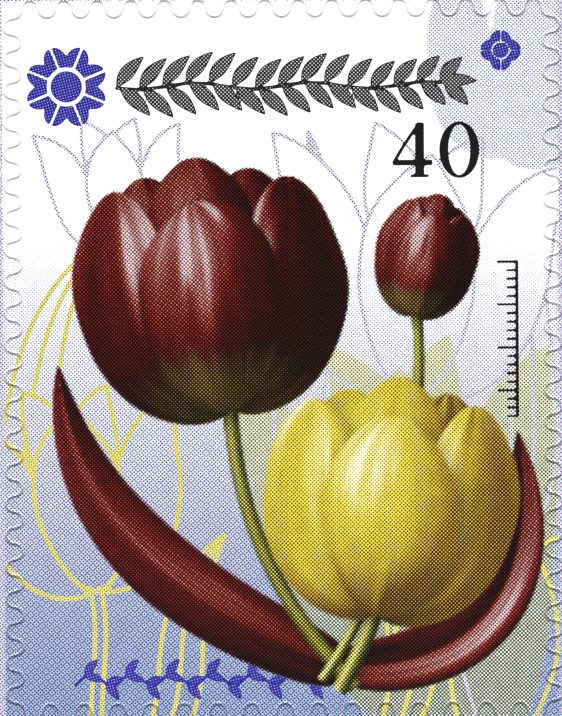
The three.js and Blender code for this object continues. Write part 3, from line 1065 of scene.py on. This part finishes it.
def printed_colour(tree, place, paper_colour, unevenness):
    """The colour of the paper under its inks."""
    carried = {name: add_node(tree, "ShaderNodeAttribute", {"attribute_name": name}).outputs
               for name in ("screen_colours", "screen_black", "lines_in_colour", "lines_in_black")}
    screens, black = carried["screen_colours"]["Vector"], carried["screen_black"]["Fac"]
    in_colour = add_node(tree, "ShaderNodeSeparateXYZ", Vector=carried["lines_in_colour"]["Vector"]).outputs
    in_black = add_node(tree, "ShaderNodeSeparateXYZ", Vector=carried["lines_in_black"]["Vector"]).outputs
    distances = dict(zip(LINE_KINDS, [*in_colour, *in_black]))
    inside = {kind: add_node(tree, "ShaderNodeMapRange", Value=distances[kind], From_Min=LINE_EDGE,
                             From_Max=-LINE_EDGE) for kind in LINE_SHARES}
    rims = {kind: add_node(tree, "ShaderNodeMapRange", Value=distances[kind], From_Min=-RIM_FROM,
                           From_Max=-RIM_TO) for kind in ("royal_blue", "screened_black")}
    for kind, shares in LINE_SHARES.items():
        limits = [float(threshold(ink, share)) for ink, share in zip(INKS, shares)]
        if kind == "screened_black":
            limits[3] = add_node(tree, "ShaderNodeMix", NUMBERS, Factor=rims[kind], A=limits[3], B=FULL_DOT)
        screens = add_node(tree, "ShaderNodeMix", VECTORS, Factor=inside[kind], A=screens, B=limits[:3])
        black = add_node(tree, "ShaderNodeMix", NUMBERS, Factor=inside[kind], A=black, B=limits[3])
    limits = dict(zip(INKS, [*add_node(tree, "ShaderNodeSeparateXYZ", Vector=screens).outputs, black]))

    result = paper_colour
    for ink, hex_colour in INKS.items():
        dots = ink_dots(tree, place, SCREEN_ANGLES[ink], DOT_EDGE[ink], limits[ink], unevenness)
        result = add_node(tree, "ShaderNodeMix", MULTIPLY, Factor=dots, A=result, B=hex_colour)
    blue_inside = add_node(tree, "ShaderNodeMix", NUMBERS, Factor=rims["royal_blue"],
                           A=float(threshold("black", BLUE_COVER)), B=FULL_DOT)
    blue_limit = add_node(tree, "ShaderNodeMix", NUMBERS, Factor=inside["royal_blue"],
                          A=NO_DOT, B=blue_inside)
    dots = ink_dots(tree, place, SCREEN_ANGLES["cyan"], DOT_EDGE["black"], blue_limit, unevenness)
    return add_node(tree, "ShaderNodeMix", MULTIPLY, Factor=dots, A=result, B=READY_MIXED_BLUE)


# %% Coated paper, printed, and its cut edge
FIBRE_SIZE = 0.06  # the grain that shows through the coat
FRAYING, MOTTLING = 0.35, 0.16  # how unevenly the coat takes the ink, in the height of a hill


def coated_paper_printed(name):
    """Clay-coated paper under its inks. Fibres show through it as a fine grain, with a soft sheen."""
    material, tree, place = new_material(name)
    grain = add_node(tree, "ShaderNodeTexNoise", Vector=place, Scale=grains(FIBRE_SIZE))
    # Fine noise frays the dots, and coarse noise mottles the tints.
    fine = add_node(tree, "ShaderNodeTexNoise", Vector=place, Scale=grains(0.03), Detail=1.0)
    frayed = add_node(tree, "ShaderNodeMapRange", Value=fine, To_Min=-FRAYING, To_Max=FRAYING)
    coarse = add_node(tree, "ShaderNodeTexNoise", Vector=place, Scale=grains(0.5))
    mottled = add_node(tree, "ShaderNodeMapRange", Value=coarse, To_Min=-MOTTLING, To_Max=MOTTLING)
    uneven = add_node(tree, "ShaderNodeMath", ADD, in_0=frayed, in_1=mottled)
    paper = add_node(tree, "ShaderNodeMix", COLOURS, Factor=grain, A="#f6f6f8", B="#ffffff")
    sheen = add_node(tree, "ShaderNodeMapRange", Value=grain, To_Min=0.46, To_Max=0.56)
    end_material(tree, grain, 0.0015, 0.6, Base_Color=printed_colour(tree, place, paper, uneven),
                 Roughness=sheen, IOR=1.5, Specular_IOR_Level=0.15)
    return material


def paper_stock(name):
    """Bare paper where it was cut: matt, with torn fibres."""
    material, tree, place = new_material(name)
    fibres = add_node(tree, "ShaderNodeTexNoise", Vector=place, Scale=grains(0.02), Detail=3.0)
    shade = add_node(tree, "ShaderNodeMix", COLOURS, Factor=fibres, A="#e9e8e4", B="#fbfaf7")
    end_material(tree, fibres, 0.004, 0.7, Base_Color=shade, Roughness=0.85)
    return material


printed_face = coated_paper_printed("coated_paper_offset_printed")
cut_edge = paper_stock("paper_stock_cut_edge")
for piece in (printed_stamp, printed_selvage):
    piece.data.materials.append(printed_face)
    piece.data.materials.append(cut_edge)
print("materials:", printed_face.name, "and", cut_edge.name)

# %% [markdown]
# ## Liner and adhesive
# The release liner is glassine: paper beaten so fine and rolled so hard that it is half see-through, then
# sealed with silicone. It is faintly cloudy and softly glossy, and its fibres lie along the web. The
# adhesive is a clear acrylic gum, and only its edge shows in the slit and round the piece. These solids
# have the right shape already, so they keep their meshes and only get a finish.

# %% Glassine and gum
def glassine_siliconised(name):
    """White glassine: cloudy, smooth and softly glossy."""
    material, tree, place = new_material(name)
    cloud = add_node(tree, "ShaderNodeTexNoise", Vector=place, Scale=grains(1.6), Detail=4.0)
    along_web = add_node(tree, "ShaderNodeMapping", Vector=place, Scale=(1, 0.22, 1))
    fibres = add_node(tree, "ShaderNodeTexNoise", Vector=along_web, Scale=grains(0.12), Detail=3.0)
    clouded = add_node(tree, "ShaderNodeMix", COLOURS, Factor=cloud, A="#edebe2", B="#f7f6f0")
    streaked = add_node(tree, "ShaderNodeMix", COLOURS, Factor=fibres, A="#e2dfd2", B="#fcfbf6")
    shade = add_node(tree, "ShaderNodeMix", COLOURS, Factor=0.3, A=clouded, B=streaked)
    gloss = add_node(tree, "ShaderNodeMapRange", Value=fibres, To_Min=0.26, To_Max=0.42)
    end_material(tree, fibres, 0.003, 0.5, Base_Color=shade, Roughness=gloss, IOR=1.43)
    return material


def acrylic_gum(name):
    """A clear, slightly amber acrylic adhesive, wet-looking, over pale paper."""
    material, tree, place = new_material(name)
    ripple = add_node(tree, "ShaderNodeTexNoise", Vector=place, Scale=grains(0.08), Detail=1.0)
    shade = add_node(tree, "ShaderNodeMix", COLOURS, Factor=ripple, A="#eeebdf", B="#f6f4ea")
    end_material(tree, ripple, 0.002, 0.4, Base_Color=shade, Roughness=0.18, IOR=1.47)
    return material


liner_finish = glassine_siliconised("glassine_siliconised")
gum = acrylic_gum("acrylic_gum")
for node, material in (("release_liner", liner_finish), ("stamp_adhesive", gum), ("selvage_adhesive", gum)):
    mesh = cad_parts[node].data
    mesh.materials.clear()
    mesh.materials.append(material)
    print(node, "is finished in", material.name)

# %% [markdown]
# ## Studio
# The piece lies on a pale table and is seen from straight above, as on a copy stand. The main lamp stands
# off its bottom edge. It shines along the upright stretches of the slit and across the level ones, so only
# the level ones show as grey lines. Two weaker panels at the sides fill the shade. Nothing hangs straight
# above, because the gloss of the black ink would mirror it into the lens.

# %% Floor
FLOOR_SIZE = 2.0  # metres

bm = bmesh.new()
bmesh.ops.create_grid(bm, x_segments=1, y_segments=1, size=FLOOR_SIZE / 2)
floor_mesh = bpy.data.meshes.new("table_top")
bm.to_mesh(floor_mesh)
bm.free()
floor = bpy.data.objects.new("table_top", floor_mesh)
bpy.context.scene.collection.objects.link(floor)
floor_mesh.transform(Matrix.Translation((0, 0, cad_box[0][2])))

table_material, tree, place = new_material("matt_white_table")
cloud = add_node(tree, "ShaderNodeTexNoise", Vector=place, Scale=grains(6.0))
shade = add_node(tree, "ShaderNodeMix", COLOURS, Factor=cloud, A="#bcbcbf", B="#c4c4c6")
shader = add_node(tree, "ShaderNodeBsdfPrincipled", Base_Color=shade, Roughness=0.8)
add_node(tree, "ShaderNodeOutputMaterial", Surface=shader)
floor_mesh.materials.append(table_material)
print("the table lies at", round(cad_box[0][2] / MM, 3), "mm")

# %% Lamps
def panel(name, place, width, height, watts):
    """A soft rectangular lamp at a place in metres, which faces the piece."""
    lamp = bpy.data.lights.new(name, "AREA")
    lamp.shape = "RECTANGLE"
    lamp.size, lamp.size_y, lamp.energy = width, height, watts
    holder = bpy.data.objects.new(name, lamp)
    holder.location = place
    holder.rotation_euler = (-Vector(place)).to_track_quat("-Z", "Y").to_euler()
    bpy.context.scene.collection.objects.link(holder)
    print(f"{name}: {watts} W")


panel("main_lamp_below", (0, -0.87, 0.55), 0.24, 0.12, 23)
panel("fill_left", (-0.7, 0.1, 0.6), 0.5, 0.5, 0.7)
panel("fill_right", (0.7, 0.1, 0.6), 0.5, 0.5, 0.7)

world = bpy.data.worlds.new("pale_room")
world.use_nodes = True
background = world.node_tree.nodes["Background"]
background.inputs["Color"].default_value = (1, 1, 1, 1)
background.inputs["Strength"].default_value = 0.07
bpy.context.scene.world = world
bpy.context.scene.view_settings.view_transform = "Standard"

# %% Camera
LENS, SENSOR = 180.0, 36.0  # millimetres
VIEW_HEIGHT = 33.37  # what the picture's height covers at the paper, in millimetres
VIEW_MIDDLE = (-0.11, 0.062)
VIEW_TURN = -0.31  # degrees

camera = bpy.data.cameras.new("camera")
camera.lens, camera.sensor_width, camera.clip_start = LENS, SENSOR, 0.01
viewer = bpy.data.objects.new("camera", camera)
viewer.location = (VIEW_MIDDLE[0] * MM, VIEW_MIDDLE[1] * MM, (PAPER_TOP + VIEW_HEIGHT * LENS / SENSOR) * MM)
viewer.rotation_euler = (0, 0, math.radians(VIEW_TURN))
bpy.context.scene.collection.objects.link(viewer)
bpy.context.scene.camera = viewer
print(f"camera {viewer.location.z / MM:.1f} mm above the table")

# %% [markdown]
# ## Put the pieces on the frame
# The new papers take over from the CAD papers, which stay behind for collision, hidden. The liner
# and the adhesive are right as they are and only get their materials.

# %% Place, measure and finish
for piece, node in ((printed_stamp, "stamp_paper"), (printed_selvage, "selvage_paper")):
    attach(piece, "root")
    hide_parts(node)

print("CAD box", [tuple(round(v / MM, 3) for v in corner) for corner in cad_box])
